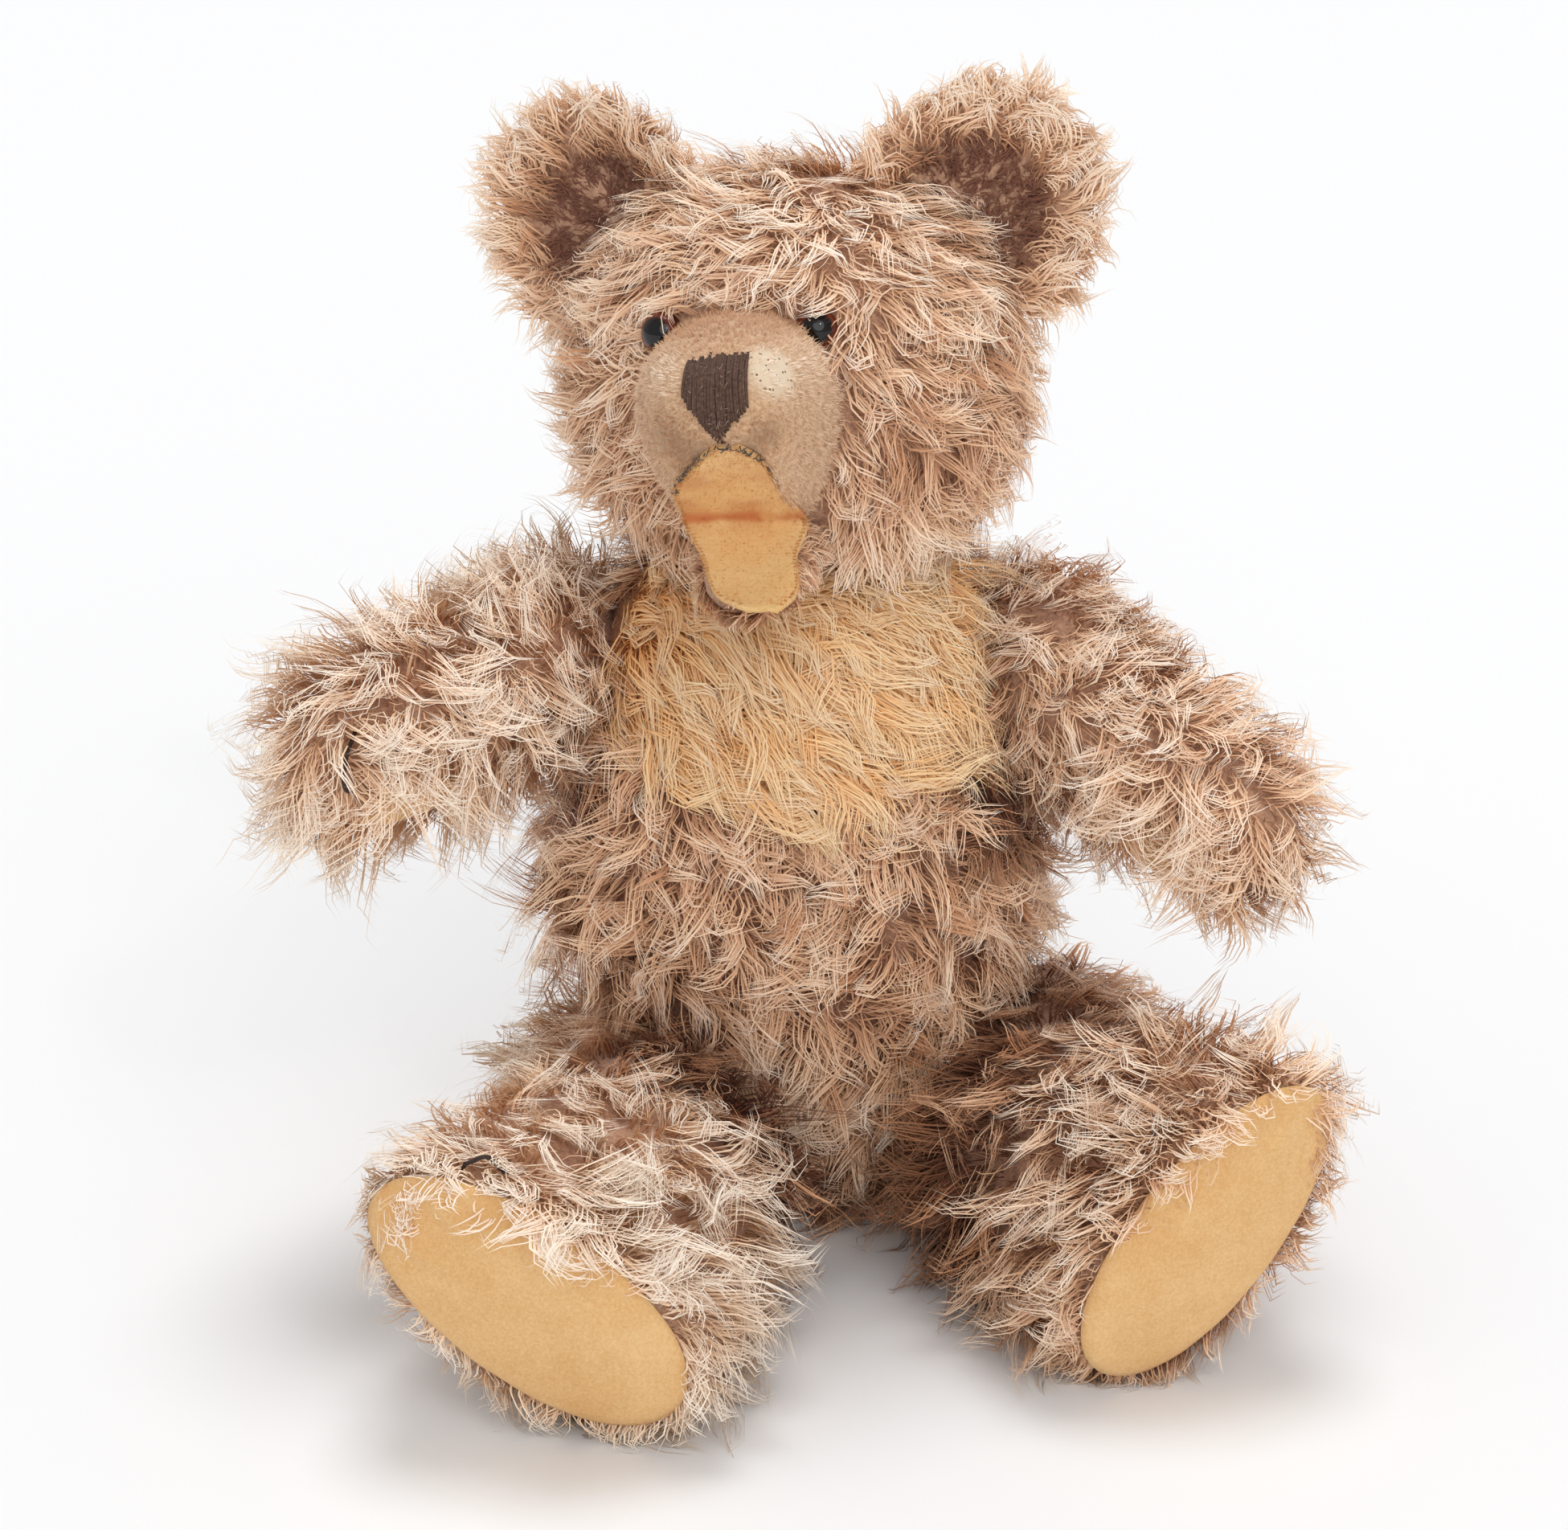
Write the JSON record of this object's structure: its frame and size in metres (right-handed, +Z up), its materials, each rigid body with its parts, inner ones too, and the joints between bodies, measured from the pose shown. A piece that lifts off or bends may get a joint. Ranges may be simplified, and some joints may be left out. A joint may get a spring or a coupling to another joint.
{
  "type": "threadbare teddy bear",
  "caption": "Jointed mohair teddy bear sitting with its limbs forward, with glass eyes, an open felt mouth, felt soles and a golden bib, worn and matted with age.",
  "frame": {"origin": "on the flat seat under the torso, at floor level, near the middle between the limbs", "axes": "+Z up, the bear faces -Y, and its left side is at +X"},
  "size_m": [0.2119, 0.1742, 0.2446],
  "materials": {
    "mohair": "long matted pile, caramel with cream tips",
    "gold_mohair": "long golden pile",
    "short_pile": "short worn pile",
    "felt": "matt felt, lightly soiled",
    "mouth_felt": "matt felt",
    "stuffing": "packed fibre",
    "hardboard": "pressed board",
    "steel": "plain",
    "eye_glass": "dark brown glass, glossy",
    "thread": "cotton thread, worn"
  },
  "bodies": {
    "torso": {"torso_skin": "mohair", "chest_bib": "gold_mohair", "torso_stuffing": "stuffing", "neck_disc_body_side": "hardboard", "neck_washer_body_side": "steel", "left_shoulder_disc_body_side": "hardboard", "left_shoulder_washer_body_side": "steel", "right_shoulder_disc_body_side": "hardboard", "right_shoulder_washer_body_side": "steel", "left_hip_disc_body_side": "hardboard", "left_hip_washer_body_side": "steel", "right_hip_disc_body_side": "hardboard", "right_hip_washer_body_side": "steel"},
    "head": {"head_skin": "mohair", "muzzle_skin": "short_pile", "jaw_skin": "mohair", "head_stuffing": "stuffing", "mouth_lining": "mouth_felt", "nose_stitching": "thread", "left_eye": "eye_glass", "right_eye": "eye_glass", "left_eye_wire": "steel", "right_eye_wire": "steel", "left_ear": "mohair", "right_ear": "mohair", "neck_disc_limb_side": "hardboard", "neck_washer_limb_side": "steel", "neck_pin": "steel"},
    "left_arm": {"left_arm_skin": "mohair", "left_arm_stuffing": "stuffing", "left_paw_pad": "felt", "left_shoulder_disc_limb_side": "hardboard", "left_shoulder_washer_limb_side": "steel", "left_shoulder_pin": "steel"},
    "right_arm": {"right_arm_skin": "mohair", "right_arm_stuffing": "stuffing", "right_paw_pad": "felt", "right_shoulder_disc_limb_side": "hardboard", "right_shoulder_washer_limb_side": "steel", "right_shoulder_pin": "steel"},
    "left_leg": {"left_leg_skin": "mohair", "left_leg_stuffing": "stuffing", "left_foot_sole": "felt", "left_hip_disc_limb_side": "hardboard", "left_hip_washer_limb_side": "steel", "left_hip_pin": "steel"},
    "right_leg": {"right_leg_skin": "mohair", "right_leg_stuffing": "stuffing", "right_foot_sole": "felt", "right_hip_disc_limb_side": "hardboard", "right_hip_washer_limb_side": "steel", "right_hip_pin": "steel"}
  },
  "joints": [
    {"name": "neck", "type": "hinge", "parent": "torso", "child": "head", "pos_m": [0.002, 0.001, 0.15], "axis": [0, 0, 1], "range_deg": [-180, 180]},
    {"name": "right_shoulder", "type": "hinge", "parent": "torso", "child": "right_arm", "pos_m": [-0.036, -0.002, 0.1225], "axis": [-1, 0, 0], "continuous": true},
    {"name": "left_shoulder", "type": "hinge", "parent": "torso", "child": "left_arm", "pos_m": [0.04, -0.002, 0.1225], "axis": [1, 0, 0], "continuous": true},
    {"name": "right_hip", "type": "hinge", "parent": "torso", "child": "right_leg", "pos_m": [-0.0205, -0.009, 0.0225], "axis": [-0.9848, 0, -0.1736], "range_deg": [-115, 3]},
    {"name": "left_hip", "type": "hinge", "parent": "torso", "child": "left_leg", "pos_m": [0.038, -0.009, 0.024], "axis": [0.9848, 0, -0.1736], "range_deg": [-15, 115]}
  ]
}
